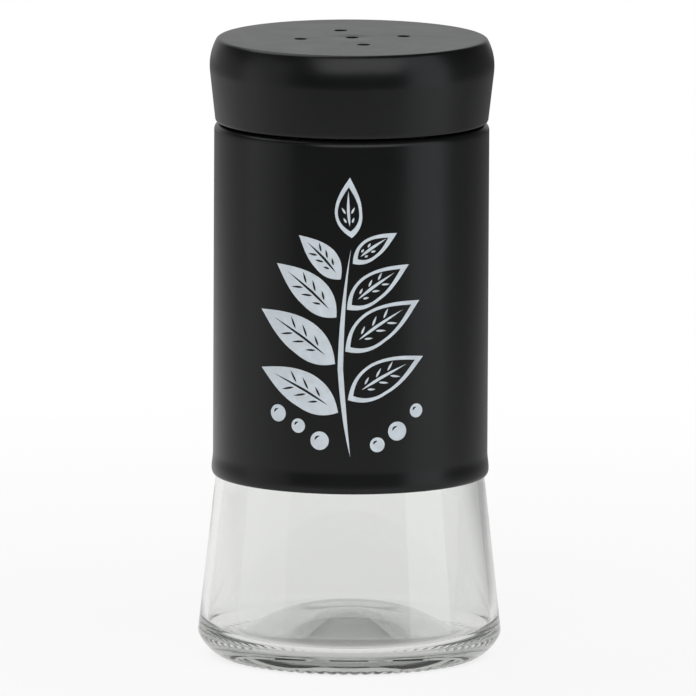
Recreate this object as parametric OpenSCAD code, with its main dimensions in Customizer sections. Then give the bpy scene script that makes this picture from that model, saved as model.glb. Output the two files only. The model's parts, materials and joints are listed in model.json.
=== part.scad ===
// Table spice shaker: a footed glass jar in a painted metal sleeve, closed by a screw cap with
// sprinkle holes. The axis is Z, the jar stands on z = 0, and the front faces -Y.

/* [Glass jar] */
// Widest diameter, at the heel just above the table
heel_d = 65.1; // [60:0.1:74]
// Height of the widest line above the table
heel_h = 5.4; // [3.5:0.1:8]
// Diameter at which the heel's curve runs into the flat foot
foot_d = 54.5; // [50.5:0.1:58]
// Fullness of the heel's curve: 1 is a bevel, 2 an ellipse
heel_fullness = 1.47; // [1.2:0.01:2.4]
// Diameter of the straight glass body inside the sleeve
body_d = 57.6; // [54:0.1:62]
// Height of the flat shoulder that carries the sleeve
shoulder_z = 115; // [90:0.1:140]
// Glass thickness of the side wall
wall = 1.7; // [1.2:0.1:2.4]
// Glass thickness of the neck
neck_wall = 2.7; // [2:0.1:3.4]
// Height of the inside floor where it meets the wall's fillet
floor_z = 4.4; // [3.6:0.1:7]
// Radius of the fillet between the inside floor and the wall
floor_fillet = 4; // [1.5:0.1:5]
// Width of the flat ring between that fillet and the floor's pushed-up middle
floor_ring = 2.5; // [1:0.1:5]
// Rise of the floor's pushed-up middle
push_h = 6.4; // [3:0.1:8]
// Fullness of the pushed-up middle: more makes its top flatter
push_fullness = 3.2; // [2:0.1:4]
// Softness of the pushed-up middle's edge: 1 is a kink
push_runout = 1.3; // [1:0.05:2]
// Glass thickness in the middle of the floor
base_t = 4.4; // [3:0.1:6]
// Diameter of the hollow under the floor
hollow_d = 46; // [36:0.5:49.5]
// Fullness of the hollow: more makes its roof flatter
hollow_fullness = 2; // [1.5:0.1:3]
// Softness of the hollow's edge: 1 is a kink
hollow_runout = 1.5; // [1:0.05:2]
// Rounding of the rim's two edges
rim_round = 0.8; // [0.4:0.1:0.9]

/* [Sleeve] */
// Height of the sleeve's lower edge
sleeve_z = 39.35; // [25:0.05:60]
// Sheet thickness of the sleeve
sleeve_t = 0.4; // [0.3:0.05:0.7]
// Clearance between the glass and the sleeve
sleeve_gap = 0.28; // [0.1:0.01:0.4]
// How far the rolled lower edge stands out from the sleeve
bead_out = 0.29; // [0.1:0.01:0.8]
// Height of the rolled edge from its lowest line to its fullest
bead_rise = 1.25; // [1:0.05:3]
// Height over which the rolled edge fades into the sleeve
bead_fade = 3.6; // [1:0.1:5]
// Outer radius of the sleeve's turned-in top edge
edge_r = 1.5; // [1:0.1:2.6]
// Clearance between the top edge's inner rim and the neck
flange_gap = 1.4; // [1:0.1:2.6]

/* [Cap shell] */
// Gap between the sleeve's top and the cap's lower edge
cap_gap = 0.35; // [0.2:0.05:3]
// Height of the cap
cap_h = 17.97; // [15:0.01:24]
// How far the cap's lower edge stands in from the sleeve's side
cap_set_in = 0.26; // [0:0.01:1]
// Growth of the cap's radius from its lower edge to its widest line
cap_swell = 1.28; // [0.6:0.01:2.5]
// Depth of the widest line below the flat top
cap_crown_h = 6; // [4:0.1:7]
// Loss of radius from the widest line to the flat top's edge
cap_crown_in = 1.63; // [1:0.01:2.4]
// Rounding of the flat top's edge
corner_r = 1.05; // [0.9:0.05:1.6]
// Sheet thickness of the cap
shell_t = 0.4; // [0.3:0.05:0.6]
// Outer radius of the lower edge's fold
hem_r = 0.6; // [0.5:0.05:1.2]

/* [Sprinkle holes] */
// Diameter of a hole in the cap
hole_d = 2.7; // [1.5:0.1:4]
// Diameter of the circle that the outer holes lie on
hole_ring_d = 22.6; // [14:0.1:32]
// Number of holes on that circle, beside the one in the middle
hole_count = 4; // [3:1:8]
// Turn of the hole pattern about the axis
hole_turn = 12.7; // [0:0.1:90]
// Extra diameter of the holes in the insert below
hole_relief = 0.5; // [0:0.1:1.5]

/* [Threaded insert] */
// Thickness of the plate under the cap's top
plate_t = 1.4; // [1:0.1:2]
// Thickness of the skirt behind the thread
skirt_t = 1.8; // [1.4:0.1:2.2]
// Height of the ribs that centre the insert in the cap
rib_h = 0.7; // [0.4:0.05:1]
// Width of a rib
rib_w = 1.6; // [1:0.1:2.4]
// Number of ribs
rib_count = 24; // [12:1:36]
// Clearance between the ribs and the cap's inside
rib_gap = 0.1; // [0.05:0.01:0.2]

/* [Thread] */
// Rise of the cap for one turn
pitch = 4; // [3.6:0.1:5]
// Turns of thread on the neck and in the insert
thread_turns = 1.25; // [0.75:0.05:1.5]
// Height of a thread's ridge
thread_depth = 1.2; // [0.8:0.05:1.4]
// Width of a ridge at its root
thread_root_w = 2.1; // [1.6:0.05:2.2]
// Width of a ridge at its crest
thread_crest_w = 0.9; // [0.6:0.05:1.2]
// Radial clearance between a crest and the wall that it faces
thread_clear = 0.4; // [0.25:0.05:0.6]
// Play between the two ridges where they bear on each other
thread_play = 0.3; // [0.2:0.05:0.5]
// Depth of the neck thread's upper end below the rim
thread_drop = 4; // [3:0.1:5]
// Height of the insert thread's lower end above the insert's lower edge
thread_lead_in = 2; // [1.5:0.1:3]

/* [Rim seal] */
// Thickness of the seal
seal_t = 1.2; // [0.8:0.1:2]
// How far the seal reaches in past the neck's bore
seal_lap = 0.6; // [0.2:0.1:1.5]
// Clearance between the seal and the insert's skirt
seal_gap = 0.3; // [0.2:0.05:0.6]

/* [Hidden] */
$fn = 96;

// Steps in a small arc, in a long curve, and in one turn of thread
arc_steps = 6;
curve_steps = 12;
thread_steps = 36;
// Rings over which a thread runs out, and its height left at the very end
runout_rings = 5;
runout_share = 0.12;
// Depth to which a ridge or rib is rooted in the wall that carries it
root_sink = 0.4;
// How far a cutter reaches past what it cuts
cut_over = 1;

// Radii from the glass body out to the cap, then back in to the neck
heel_r = heel_d / 2;
foot_r = foot_d / 2;
body_r = body_d / 2;
sleeve_in_r = body_r + sleeve_gap;
sleeve_r = sleeve_in_r + sleeve_t;
cap_low_r = sleeve_r - cap_set_in;
cap_max_r = cap_low_r + cap_swell;
cap_top_r = cap_max_r - cap_crown_in;
rib_r = cap_low_r - shell_t - rib_gap;
skirt_r = rib_r - rib_h;
thread_root_r = skirt_r - skirt_t;
neck_crest_r = thread_root_r - thread_clear;
neck_r = neck_crest_r - thread_depth;
bore_r = neck_r - neck_wall;
flange_in_r = neck_r + flange_gap;

// Top of the floor's pushed-up middle
push_z = floor_z + push_h;

// Heights from the shoulder up through the stack of pieces
sleeve_top_z = shoulder_z + sleeve_t;
cap_z = sleeve_top_z + cap_gap;
cap_top_z = cap_z + cap_h;
cap_max_z = cap_top_z - cap_crown_h;
insert_z = cap_z + shell_t;
insert_top_z = cap_top_z - shell_t;
plate_z = insert_top_z - plate_t;
rim_z = plate_z - seal_t;

// Outside and inside of the footed part: a straight cone from the heel up to the sleeve
cone_slope = (heel_r - body_r) / (sleeve_z - heel_h);
cone_angle = atan(cone_slope);
body_in_r = body_r - wall;
function cone_in_r(z) = body_in_r + cone_slope * (sleeve_z - z);

// The cap's side is one arc through the top's edge and the widest line
crown_r = (pow(cap_crown_in, 2) + pow(cap_crown_h, 2)) / (2 * cap_crown_in);
crown_c = [cap_max_r - crown_r, cap_max_z];
// The straight taper below touches that arc and ends at the lower edge
low_reach = [cap_low_r, cap_z] - crown_c;
taper = -(atan2(low_reach.y, low_reach.x) + acos(crown_r / norm(low_reach)));
hem_c = [cap_low_r + hem_r * (tan(taper) - 1 / cos(taper)), cap_z + hem_r];
corner_rise = cap_crown_h - corner_r;
corner_out = sqrt(pow(crown_r - corner_r, 2) - pow(corner_rise, 2));
corner_c = crown_c + [corner_out, corner_rise];
corner_turn = atan2(corner_rise, corner_out);
hem_in_r = skirt_r - skirt_t / 2;

// Both threads lie on one helix, the insert's below the neck's so that their flanks bear
flank_share = 1 - thread_clear / thread_depth / 2;
flank_w = thread_root_w - flank_share * (thread_root_w - thread_crest_w);
thread_rise = pitch * thread_turns;
neck_thread_z = rim_z - thread_drop - thread_rise;
insert_thread_z = insert_z + thread_lead_in;
insert_thread_turn = 360 * (insert_thread_z + flank_w + thread_play - neck_thread_z) / pitch;

glass_colour = [0.86, 0.89, 0.88, 0.45];
lacquer_colour = [0.1, 0.1, 0.11];
insert_colour = [0.16, 0.16, 0.17];
seal_colour = [0.86, 0.85, 0.82];

// Points on an arc about c, from angle a0 to a1
function arc(c, r, a0, a1, steps) =
    [for (i = [0:steps]) let (a = a0 + (a1 - a0) * i / steps) c + r * [cos(a), sin(a)]];

function reverse(list) = [for (i = [len(list) - 1:-1:0]) list[i]];

// Heel from the foot up to the widest line
function heel_curve() =
    [for (i = [0:curve_steps])
        let (a = 90 * i / curve_steps)
        [
            foot_r + (heel_r - foot_r) * pow(sin(a), 2 / heel_fullness),
            heel_h * (1 - pow(cos(a), 2 / heel_fullness))
        ]];

// A shallow dome or hollow from the axis, at height z0, to radius r, at height z1
function dome(r, z0, z1, fullness, runout) =
    [for (i = [0:curve_steps])
        let (x = i / curve_steps)
        [r * x, z1 + (z0 - z1) * pow(1 - pow(x, fullness), runout)]];

// The jar's outside, from the foot's inner edge up to the rim
function jar_outside() = concat(
    heel_curve(),
    [[body_r, sleeve_z]],
    arc([body_r - edge_r, shoulder_z - edge_r], edge_r, 0, 90, arc_steps),
    [[neck_r, shoulder_z]],
    arc([neck_r - rim_round, rim_z - rim_round], rim_round, 0, 90, arc_steps)
);

// The jar's inside, from the middle of the floor up to the rim
function jar_inside() =
    let (
        step_r = (body_in_r - bore_r) / 2,
        step_z = shoulder_z - wall,
        fillet_z = floor_z + floor_fillet,
        fillet_r = cone_in_r(fillet_z) - floor_fillet / cos(cone_angle)
    )
    concat(
        dome(fillet_r - floor_ring, push_z, floor_z, push_fullness, push_runout),
        arc([fillet_r, fillet_z], floor_fillet, -90, cone_angle, arc_steps),
        [[body_in_r, sleeve_z]],
        arc([body_in_r - step_r, step_z - step_r], step_r, 0, 90, arc_steps),
        arc([bore_r + step_r, step_z + step_r], step_r, 270, 180, arc_steps),
        arc([bore_r + rim_round, rim_z - rim_round], rim_round, 180, 90, arc_steps)
    );

// The cap's outer face from the axis to the fold's end, or a face that lies deeper in
function cap_face(depth) = concat(
    [[0, cap_top_z - depth]],
    arc(corner_c, corner_r - depth, 90, corner_turn, arc_steps),
    arc(crown_c, crown_r - depth, corner_turn, -taper, curve_steps),
    arc(hem_c, hem_r - depth, -taper, -90, arc_steps),
    [[hem_in_r, cap_z + depth]]
);

// The rolled edge, from the lowest line out to the fullest and back to the sleeve's side
function sleeve_bead() = concat(
    [for (i = [0:arc_steps])
        let (a = 90 * i / arc_steps)
        [sleeve_in_r + (sleeve_t + bead_out) * sin(a), sleeve_z + bead_rise * (1 - cos(a))]],
    [for (i = [1:arc_steps])
        let (x = i / arc_steps)
        [sleeve_r + bead_out * (1 + cos(180 * x)) / 2, sleeve_z + bead_rise + bead_fade * x]]
);

// One ridge of thread: a swept trapezium that runs out at both ends.
// wall_r is the wall that carries it, and side is 1 for a ridge outside it, -1 for one inside
module thread(wall_r, side, z, turn) {
    rings = ceil(thread_turns * thread_steps);
    foot = wall_r - side * root_sink;
    function share(i) = min(1, i / runout_rings, (rings - i) / runout_rings);
    function height(i) = thread_depth * max(runout_share, share(i));
    function ring(i) =
        let (
            a = turn + 360 * thread_turns * i / rings,
            middle = z + thread_rise * i / rings,
            crest = wall_r + side * height(i),
            low = [[foot, -thread_root_w / 2], [crest, -thread_crest_w / 2]],
            high = [[crest, thread_crest_w / 2], [foot, thread_root_w / 2]]
        )
        [for (p = concat(low, high)) [p.x * cos(a), p.x * sin(a), middle + p.y]];
    points = [for (i = [0:rings]) each ring(i)];
    sides = [for (i = [0:rings - 1], k = [0:3])
        let (a = 4 * i + k, b = 4 * i + (k + 1) % 4)
        each [[a, b, b + 4], [a, b + 4, a + 4]]];
    last = 4 * rings;
    ends = [[2, 1, 0], [3, 2, 0], [last, last + 1, last + 2], [last, last + 2, last + 3]];
    faces = concat(sides, ends);
    polyhedron(points, side > 0 ? faces : [for (f = faces) reverse(f)]);
}

// Cutters for the sprinkle holes, down through the cap and the insert
module sprinkle_holes(d) {
    depth = shell_t + plate_t + 2 * cut_over;
    translate([0, 0, cap_top_z + cut_over - depth]) {
        cylinder(d = d, h = depth);
        for (i = [1:hole_count])
            rotate(hole_turn + 360 * i / hole_count)
                translate([hole_ring_d / 2, 0, 0])
                    cylinder(d = d, h = depth);
    }
}

// Glass jar with its threaded neck, pushed-up floor and hollowed foot
module glass_jar() {
    color(glass_colour) {
        rotate_extrude()
            polygon(concat(
                dome(hollow_d / 2, push_z - base_t, 0, hollow_fullness, hollow_runout),
                jar_outside(),
                reverse(jar_inside())
            ));
        thread(neck_r, 1, neck_thread_z, 0);
    }
}

// Metal sleeve: a rolled lower edge, a straight side and a top edge turned in over the shoulder
module body_sleeve() {
    turn_c = [sleeve_r - edge_r, sleeve_top_z - edge_r];
    color(lacquer_colour)
        rotate_extrude()
            polygon(concat(
                sleeve_bead(),
                arc(turn_c, edge_r, 0, 90, arc_steps),
                [[flange_in_r, sleeve_top_z], [flange_in_r, shoulder_z]],
                arc(turn_c, edge_r - sleeve_t, 90, 0, arc_steps)
            ));
}

// Soft ring between the rim and the insert's plate
module rim_seal() {
    color(seal_colour)
        translate([0, 0, rim_z])
            difference() {
                cylinder(r = thread_root_r - seal_gap, h = seal_t);
                translate([0, 0, -cut_over])
                    cylinder(r = bore_r - seal_lap, h = seal_t + 2 * cut_over);
            }
}

// The space inside the cap shell, less the ribs' clearance
module cap_cavity() {
    rotate_extrude()
        polygon([for (p = concat(cap_face(shell_t), [[0, insert_z]])) [max(0, p.x - rib_gap), p.y]]);
}

// Plastic insert: a plate and skirt with centring ribs outside and the thread inside
module cap_insert() {
    skirt_h = plate_z - insert_z;
    color(insert_colour) {
        difference() {
            intersection() {
                union() {
                    translate([0, 0, insert_z])
                        cylinder(r = skirt_r, h = insert_top_z - insert_z);
                    for (i = [1:rib_count])
                        rotate(360 * i / rib_count)
                            translate([skirt_r - root_sink, -rib_w / 2, insert_z])
                                cube([cap_max_r - skirt_r, rib_w, skirt_h]);
                }
                cap_cavity();
            }
            translate([0, 0, insert_z - cut_over])
                cylinder(r = thread_root_r, h = skirt_h + cut_over);
            sprinkle_holes(hole_d + hole_relief);
        }
        thread(thread_root_r, -1, insert_thread_z, insert_thread_turn);
    }
}

// Painted metal shell of the cap, folded in under the insert at its lower edge
module cap_shell() {
    color(lacquer_colour)
        difference() {
            rotate_extrude()
                polygon(concat(cap_face(0), reverse(cap_face(shell_t))));
            sprinkle_holes(hole_d);
        }
}

glass_jar();
body_sleeve();
rim_seal();
cap_insert();
cap_shell();
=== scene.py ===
"""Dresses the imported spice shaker: a footed glass jar in a satin black sleeve, with a screw cap."""

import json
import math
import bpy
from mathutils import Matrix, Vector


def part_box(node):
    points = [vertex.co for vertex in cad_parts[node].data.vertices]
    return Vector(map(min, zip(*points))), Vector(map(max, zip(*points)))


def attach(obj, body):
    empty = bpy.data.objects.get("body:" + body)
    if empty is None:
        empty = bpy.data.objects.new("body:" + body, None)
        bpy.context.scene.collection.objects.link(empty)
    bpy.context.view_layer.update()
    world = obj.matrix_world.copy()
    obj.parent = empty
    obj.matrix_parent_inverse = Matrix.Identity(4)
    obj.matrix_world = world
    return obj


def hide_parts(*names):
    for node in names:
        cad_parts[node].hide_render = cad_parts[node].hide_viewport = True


bl_info = {
    "name": "Spice Shaker",
    "version": (1, 0, 0),
    "blender": (4, 5, 0),
    "location": "View3D > Sidebar > Shaker",
    "description": "Models the pieces of a glass spice shaker and gives them their finishes",
    "category": "Object",
}

import bpy
from bpy.props import FloatProperty, FloatVectorProperty, IntProperty, PointerProperty
from bpy.types import NodeSocket, Operator, Panel, PropertyGroup
from mathutils import Matrix, Vector

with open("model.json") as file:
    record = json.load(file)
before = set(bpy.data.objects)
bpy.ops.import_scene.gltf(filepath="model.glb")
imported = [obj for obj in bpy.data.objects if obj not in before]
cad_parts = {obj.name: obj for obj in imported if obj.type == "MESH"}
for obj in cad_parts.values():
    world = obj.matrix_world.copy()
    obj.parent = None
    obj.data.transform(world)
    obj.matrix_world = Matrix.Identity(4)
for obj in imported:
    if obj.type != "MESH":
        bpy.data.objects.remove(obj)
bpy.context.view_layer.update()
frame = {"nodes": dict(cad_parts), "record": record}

MM = 0.001
TURN = 2 * math.pi
WHITE = (1.0, 1.0, 1.0, 1.0)


def node_reach(node):
    """Outer radius, lowest and highest level of a round CAD node."""
    low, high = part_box(node)
    return high.x, low.z, high.z


HEEL_R, TABLE_Z, RIM_Z = node_reach("glass_jar")
BEAD_R, SLEEVE_LOW_Z, SLEEVE_TOP_Z = node_reach("body_sleeve")
CAP_MAX_R, CAP_LOW_Z, CAP_TOP_Z = node_reach("cap_shell")
SEAL_R, SEAL_LOW_Z, SEAL_TOP_Z = node_reach("rim_seal")
THREAD_PITCH = frame["record"]["behaviour"]["couplings"][0]["ratio"] * TURN


# Properties

def length(name, description, millimetres):
    """A length, given in millimetres and kept in metres."""
    return FloatProperty(
        name=name, description=description, default=millimetres * MM, precision=5, unit="LENGTH"
    )


def angle(name, description, degrees):
    """An angle, given in degrees and kept in radians."""
    return FloatProperty(
        name=name, description=description, default=math.radians(degrees), unit="ROTATION"
    )


def number(name, description, value):
    """A plain number."""
    return FloatProperty(name=name, description=description, default=value, precision=4)


def share(name, description, value):
    """A number between none and all."""
    return FloatProperty(
        name=name, description=description, default=value, min=0.0, max=1.0, subtype="FACTOR"
    )


def count(name, description, value):
    """A whole number of like features."""
    return IntProperty(name=name, description=description, default=value, min=1)


def colour(name, description, red, green, blue):
    """A linear colour."""
    return FloatVectorProperty(
        name=name,
        description=description,
        default=(red, green, blue),
        min=0.0,
        max=1.0,
        subtype="COLOR",
    )


class JarSettings(PropertyGroup):
    """Sizes of the glass jar."""

    heel_height: length("Heel height", "Level of the jar's widest line", 5.4)
    heel_fullness: number("Heel fullness", "Curve of the heel: 1 a bevel, 2 an ellipse", 1.47)
    foot_radius: length("Foot radius", "Radius at which the heel meets the flat foot", 27.25)
    body_radius: length("Body radius", "Radius of the straight glass in the sleeve", 28.8)
    wall: length("Wall", "Glass thickness of the side", 1.7)
    shoulder_drop: length("Shoulder drop", "Depth of the shoulder below the sleeve's top", 0.4)
    shoulder_round: length("Shoulder rounding", "Outer rounding of the shoulder", 1.5)
    neck_radius: length("Neck radius", "Radius of the neck beside its thread", 24.62)
    neck_wall: length("Neck wall", "Glass thickness of the neck", 2.7)
    rim_round: length("Rim rounding", "Rounding of the rim's edges", 0.8)
    floor_height: length("Floor height", "Level of the inside floor at its edge", 4.4)
    floor_fillet: length("Floor fillet", "Fillet between inside floor and wall", 4.0)
    dome_radius: length("Dome radius", "Radius of the pushed-up middle of the floor", 24.0)
    dome_height: length("Dome height", "Rise of the floor to its middle", 6.4)
    dome_fullness: number("Dome fullness", "Power of the floor's curve: more has a flatter top", 3.2)
    dome_runout: number("Dome run-out", "Softness of the floor's edge: 1 has a kink", 1.3)
    hollow_radius: length("Hollow radius", "Radius of the hollow under the floor", 23.0)
    hollow_height: length("Hollow height", "Depth of the hollow under the floor", 6.4)
    hollow_fullness: number("Hollow fullness", "Power of the hollow's curve", 2.0)
    hollow_runout: number("Hollow run-out", "Softness of the hollow's edge", 1.5)
    thread_turns: number("Thread turns", "Turns of thread on the neck", 1.25)
    thread_depth: length("Thread depth", "Height of the thread's ridge", 1.15)
    thread_width: length("Thread width", "Width of the ridge at its root", 2.1)
    thread_drop: length("Thread drop", "Depth of the thread's upper end below the rim", 4.0)
    grip_count: count("Stipple marks", "Marks round the foot's outer edge", 72)
    grip_depth: length("Stipple depth", "Depth of the marks", 0.28)
    grip_inner: length("Stipple inner radius", "Radius at which the marks begin", 26.2)
    grip_outer: length("Stipple outer radius", "Radius at which the marks end", 29.4)


class SleeveSettings(PropertyGroup):
    """Sizes of the metal sleeve."""

    sheet: length("Sheet", "Thickness of the metal", 0.4)
    bead_out: length("Bead", "How far the rolled edge stands out", 0.29)
    bead_rise: length("Bead rise", "Height of the rolled edge up to its fullest line", 1.25)
    bead_fade: length("Bead fade", "Height over which the rolled edge runs out", 3.6)
    edge_round: length("Top rounding", "Outer radius of the turned-in top edge", 1.5)
    flange_radius: length("Flange radius", "Inner radius of the turned-in top edge", 26.02)


class PrintSettings(PropertyGroup):
    """Sizes of the herb sprig printed on the sleeve."""

    middle_height: length("Middle height", "Level of the print's middle", 76.5)
    stem_length: length("Stem length", "Length of the sprig's stem", 45.0)
    stem_width: length("Stem width", "Width of the stem at its middle", 1.15)
    stem_bend: share("Stem bend", "Bow of the stem as a share of its length", 0.05)
    stem_foot: length("Stem foot", "Level of the stem's foot below the print's middle", 29.0)
    leaf_gap: length("Leaf gap", "Bare gap between stem and leaf", 0.75)
    line: length("Line", "Width of the drawn lines", 0.62)
    ink: length("Ink", "Thickness of the ink", 0.03)
    sunk: length("Key", "Depth to which the ink keys into the lacquer", 0.05)
    strip: length("Strip", "Width of the strips that bend the ink round the sleeve", 0.7)


class CapSettings(PropertyGroup):
    """Sizes of the cap shell."""

    sheet: length("Sheet", "Thickness of the metal", 0.4)
    low_radius: length("Lower radius", "Radius of the cap's lower edge", 29.22)
    crown_height: length("Crown height", "Depth of the widest line below the top", 6.0)
    crown_in: length("Crown inset", "Loss of radius from the widest line to the top", 1.63)
    corner: length("Corner", "Rounding of the flat top's edge", 1.05)
    hem: length("Hem", "Outer radius of the lower edge's fold", 0.6)
    hem_radius: length("Hem inner radius", "Radius at which the folded edge ends", 27.12)
    hole_diameter: length("Hole diameter", "Diameter of a sprinkle hole", 2.7)
    hole_ring: length("Hole ring", "Diameter of the circle of outer holes", 22.6)
    hole_count: count("Outer holes", "Holes on the circle beside the middle one", 4)
    hole_turn: angle("Hole turn", "Turn of the hole pattern", 12.7)
    hole_edge: length("Hole edge", "Rounding of a hole's edge", 0.12)


class SealSettings(PropertyGroup):
    """Sizes of the rim seal."""

    inner_radius: length("Inner radius", "Radius of the seal's opening", 21.32)
    edge: length("Edge", "Rounding of the seal's edges", 0.25)


class FinishSettings(PropertyGroup):
    """Colours and gloss of the finishes."""

    lacquer: colour("Lacquer", "Satin black lacquer on sleeve and cap", 0.0028, 0.0030, 0.0031)
    lacquer_gloss: share("Lacquer roughness", "Roughness of the lacquer", 0.29)
    lacquer_specular: share("Lacquer reflection", "Strength of its front reflection", 0.32)
    glass: colour("Glass", "Tint of the glass's surface", 0.905, 0.91, 0.902)
    glass_body: colour("Glass body", "Tint that deepens with the glass's thickness", 0.50, 0.52, 0.48)
    glass_depth: number("Glass depth", "Strength of that tint per metre", 22.0)
    glass_index: number("Glass index", "Refractive index of the glass", 1.5)
    tin: colour("Tin", "Bare tinplate inside sleeve and cap", 0.62, 0.615, 0.60)
    ink: colour("Ink", "Pale ink of the print", 0.615, 0.675, 0.72)
    plastic: colour("Plastic", "Moulded plastic of the insert", 0.014, 0.014, 0.015)
    seal: colour("Seal", "Soft material of the seal", 0.62, 0.60, 0.55)


class StageSettings(PropertyGroup):
    """Camera, floor and light."""

    view_height: length("View height", "Level on the axis that the camera looks at", 67.0)
    view_tilt: angle("View tilt", "How far the camera looks down", 8.85)
    view_roll: angle("View roll", "Roll of the camera", 0.28)
    view_distance: length("View distance", "Distance of the camera from the axis", 4000.0)
    view_width: length("View width", "Width of the view at the axis", 149.36)
    view_right: length("View offset", "Shift of the view to the left of the axis", 0.58)
    view_up: length("View drop", "Shift of the view below that level", 0.54)
    floor_radius: length("Floor radius", "Radius of the pale floor", 1100.0)
    floor_back: length("Floor shift", "How far the floor's middle lies behind the shaker", 735.0)
    floor: colour("Floor", "Colour of the floor", 0.70, 0.70, 0.695)
    backdrop: colour("Backdrop", "Pale studio behind the shaker", 0.62, 0.625, 0.625)
    walls: colour("Walls", "Pale walls low down at the sides", 0.36, 0.36, 0.365)
    room: colour("Room", "Dim studio round the rest", 0.06, 0.06, 0.062)


# Modelling helpers

# Points closer than this are merged
WELD = 0.002 * MM
# Steps along the curves of the outlines, and rows along straight runs
CURVE = {
    "heel": 28,
    "shoulder": 8,
    "rim": 8,
    "neck_step": 12,
    "fillet": 16,
    "floor": 32,
    "hollow": 24,
    "bead": 12,
    "sleeve_edge": 12,
    "sleeve_edge_inside": 8,
    "cap_corner": 10,
    "cap_crown": 24,
    "cap_hem": 8,
    "seal": 4,
}
ROWS = {"foot": 12, "flare": 10, "neck": 56, "cap_top": 5}
# How far from a straight run's ends the rows lie that keep its shading straight
HOLD = {
    "body": 1.0 * MM,
    "shoulder": 0.3 * MM,
    "bore": 0.4 * MM,
    "sleeve": 0.8 * MM,
    "sleeve_inside": 0.5 * MM,
    "cap_top": 0.3 * MM,
    "cap_side": 0.4 * MM,
}
# Steps round the axis, those of the jar for each stipple mark
ROUND = {"mark": 5, "sleeve": 256, "cap": 256, "seal": 192}
# Angles in degrees past which an edge is shaded sharp
CREASE = {"jar": 50, "sleeve": 45, "print": 40, "cap": 40, "seal": 60}


def start_clean():
    """Leave edit mode and deselect everything."""
    if bpy.context.object and bpy.context.object.mode != "OBJECT":
        bpy.ops.object.mode_set(mode="OBJECT")
    bpy.ops.object.select_all(action="DESELECT")


def pick(piece):
    """Select a piece alone and make it the active one."""
    start_clean()
    piece.select_set(True)
    bpy.context.view_layer.objects.active = piece


def arc(centre, radius, start, end, steps):
    """Points on an arc, from one angle in degrees to another."""
    points = []
    for step in range(steps + 1):
        turn = math.radians(start + (end - start) * step / steps)
        points.append((centre[0] + radius * math.cos(turn), centre[1] + radius * math.sin(turn)))
    return points


def dome(radius, middle_z, edge_z, fullness, runout, steps):
    """Points on a shallow dome, from the axis to its edge."""
    points = []
    for step in range(steps + 1):
        reach = step / steps
        rise = (1 - reach ** fullness) ** runout
        points.append((radius * reach, edge_z + (middle_z - edge_z) * rise))
    return points


def rows_between(start, end, steps):
    """Points between two others on a straight line, without its ends."""
    points = []
    for step in range(1, steps):
        along = step / steps
        points.append(tuple(a + (b - a) * along for a, b in zip(start, end)))
    return points


def held_line(start, end, hold):
    """Two points close to a straight line's ends, which keep its shading straight."""
    span = math.dist(start, end)
    return [tuple(a + (b - a) * s / span for a, b in zip(start, end)) for s in (hold, span - hold)]


def lathe(name, outline, steps):
    """Extrude an outline of radius and level point by point, and turn it round the axis."""
    start_clean()
    bpy.ops.mesh.primitive_plane_add(size=1 * MM, location=(0, 0, 0))
    piece = bpy.context.object
    piece.name = name
    piece.data.name = name
    bpy.ops.object.mode_set(mode="EDIT")
    bpy.ops.mesh.select_all(action="SELECT")
    bpy.ops.mesh.merge(type="CENTER")
    last = (0.0, 0.0)
    for index, point in enumerate(outline):
        step = (point[0] - last[0], 0, point[1] - last[1])
        if index:
            bpy.ops.mesh.extrude_region_move(TRANSFORM_OT_translate={"value": step})
        else:
            bpy.ops.transform.translate(value=step)
        last = point
    bpy.ops.object.mode_set(mode="OBJECT")
    apply_modifier(piece, "SCREW", angle=TURN, steps=steps, render_steps=steps)
    bpy.ops.object.mode_set(mode="EDIT")
    bpy.ops.mesh.select_all(action="SELECT")
    bpy.ops.mesh.remove_doubles(threshold=WELD)
    bpy.ops.mesh.normals_make_consistent(inside=False)
    bpy.ops.object.mode_set(mode="OBJECT")
    return piece


def smooth(piece, degrees):
    """Shade smooth, with edges sharper than an angle left sharp."""
    pick(piece)
    bpy.ops.object.shade_smooth_by_angle(angle=math.radians(degrees))


def apply_modifier(piece, kind, **settings):
    """Add a modifier, set it and apply it."""
    pick(piece)
    bpy.ops.object.modifier_add(type=kind)
    modifier = piece.modifiers[-1]
    for key, value in settings.items():
        setattr(modifier, key, value)
    bpy.ops.object.modifier_apply(modifier=modifier.name)


def dress(piece, body, slot, material, *nodes):
    """Give a finished piece its material and body, and hide the CAD nodes that it stands for. The
    finish slot is not used.
    """
    piece.data.materials.clear()
    piece.data.materials.append(material)
    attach(piece, body)
    if nodes:
        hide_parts(*nodes)


# Materials

LACQUER_NAME = "satin_black_lacquer"
TIN_NAME = "bare_tinplate"
# Values between which most of a noise lies
NOISE_REACH = (0.3, 0.7)
# Power that leaves only a few cells with a speck
SPECK_RARITY = 6.0


def add_node(tree, kind, inputs=None, **settings):
    """Add a node with its settings, and set or link its inputs."""
    made = tree.nodes.new(kind)
    for key, value in settings.items():
        setattr(made, key, value)
    for socket, value in (inputs or {}).items():
        if isinstance(value, NodeSocket):
            tree.links.new(value, made.inputs[socket])
        else:
            made.inputs[socket].default_value = value
    return made


def new_material(name):
    """A material with a bare Principled shader: returns it, its tree, the shader and coordinates."""
    material = bpy.data.materials.new(name)
    material.use_nodes = True
    tree = material.node_tree
    shader = tree.nodes["Principled BSDF"]
    coords = add_node(tree, "ShaderNodeTexCoord").outputs["Object"]
    return material, tree, shader, coords


def noise(tree, coords, scale, detail, distortion=0.0):
    """Noise of a scale per metre."""
    inputs = {"Vector": coords, "Scale": scale, "Detail": detail, "Distortion": distortion}
    return add_node(tree, "ShaderNodeTexNoise", inputs).outputs["Fac"]


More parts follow.
